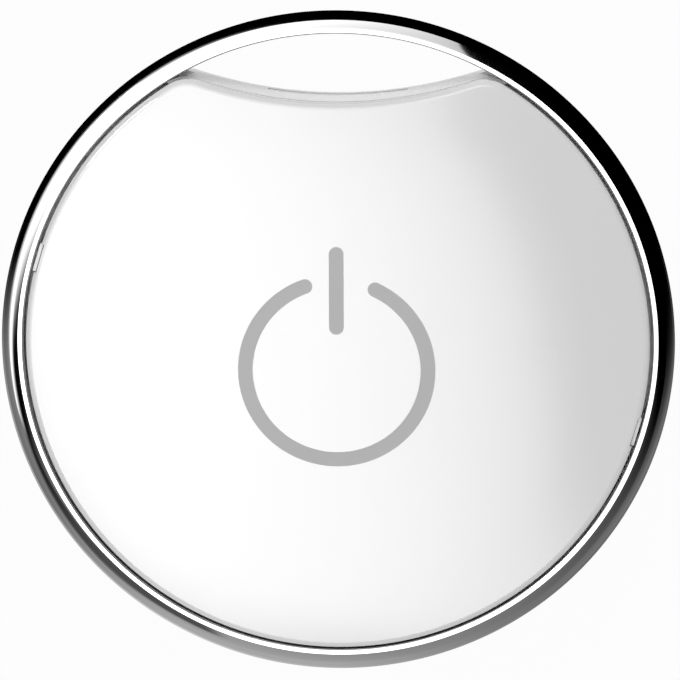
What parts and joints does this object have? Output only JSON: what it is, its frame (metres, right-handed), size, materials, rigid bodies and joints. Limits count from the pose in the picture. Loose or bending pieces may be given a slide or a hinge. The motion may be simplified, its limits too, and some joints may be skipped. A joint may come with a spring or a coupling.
{
  "type": "smart lock remote",
  "caption": "Round key fob for a smart lock: a domed push face with a power symbol in a polished ring, a lens-shaped keyring opening, and a rear cover that lifts off for the coin cell.",
  "frame": {"origin": "middle of the flat back, which is also the middle of the ring seen from the face", "axes": "+Z out of the face, +Y towards the keyring opening, +X to the right of the face"},
  "size_m": [0.042, 0.042, 0.0097],
  "materials": {
    "polished_metal": "mirror polished",
    "gloss_white": "glossy, domed",
    "symbol_grey": "flat grey",
    "white_plastic": "satin",
    "cover_white": "glossy",
    "seal_rubber": "matt",
    "pad_foam": "matt foam",
    "cell_steel": "brushed",
    "gasket_plastic": "matt",
    "cap_steel": "brushed",
    "board_green": "solder mask",
    "screw_steel": "bright",
    "switch_black": "matt",
    "switch_steel": "satin",
    "dome_steel": "polished",
    "plunger_black": "matt",
    "chip_black": "matt",
    "crystal_metal": "satin",
    "antenna_ceramic": "ceramic",
    "capacitor_tan": "ceramic",
    "resistor_black": "matt",
    "holder_black": "matt",
    "contact_metal": "plated"
  },
  "bodies": {
    "body": {"chrome_ring": "polished_metal", "housing": "white_plastic", "circuit_board": "board_green", "board_screws": "screw_steel", "switch_base": "switch_black", "switch_plate": "switch_steel", "snap_dome": "dome_steel", "radio_chip": "chip_black", "crystal": "crystal_metal", "chip_antenna": "antenna_ceramic", "capacitors": "capacitor_tan", "resistors": "resistor_black", "cell_holder": "holder_black", "positive_contact": "contact_metal", "negative_contact": "contact_metal"},
    "button": {"button_cap": "gloss_white", "power_symbol": "symbol_grey", "switch_plunger": "plunger_black"},
    "cover": {"rear_cover": "cover_white", "cover_seal": "seal_rubber", "cell_pad": "pad_foam"},
    "cell": {"cell_can": "cell_steel", "cell_gasket": "gasket_plastic", "cell_cap": "cap_steel"}
  },
  "joints": [
    {"name": "button_press", "type": "slide", "parent": "body", "child": "button", "axis": [0, 0, -1], "range_m": [0, 0.0003], "stiffness_N_per_m": 4000, "springref_m": -0.0001, "deforming": ["snap_dome"]},
    {"name": "rear_cover_lift", "type": "slide", "parent": "body", "child": "cover", "axis": [0, 0, -1], "range_m": [0, 0.02]},
    {"name": "cell_lift", "type": "slide", "parent": "body", "child": "cell", "axis": [0, 0, -1], "range_m": [0, 0.01]}
  ],
  "couplings": [
    {"joint": "cell_lift", "follows": "rear_cover_lift", "ratio": 0.5}
  ]
}
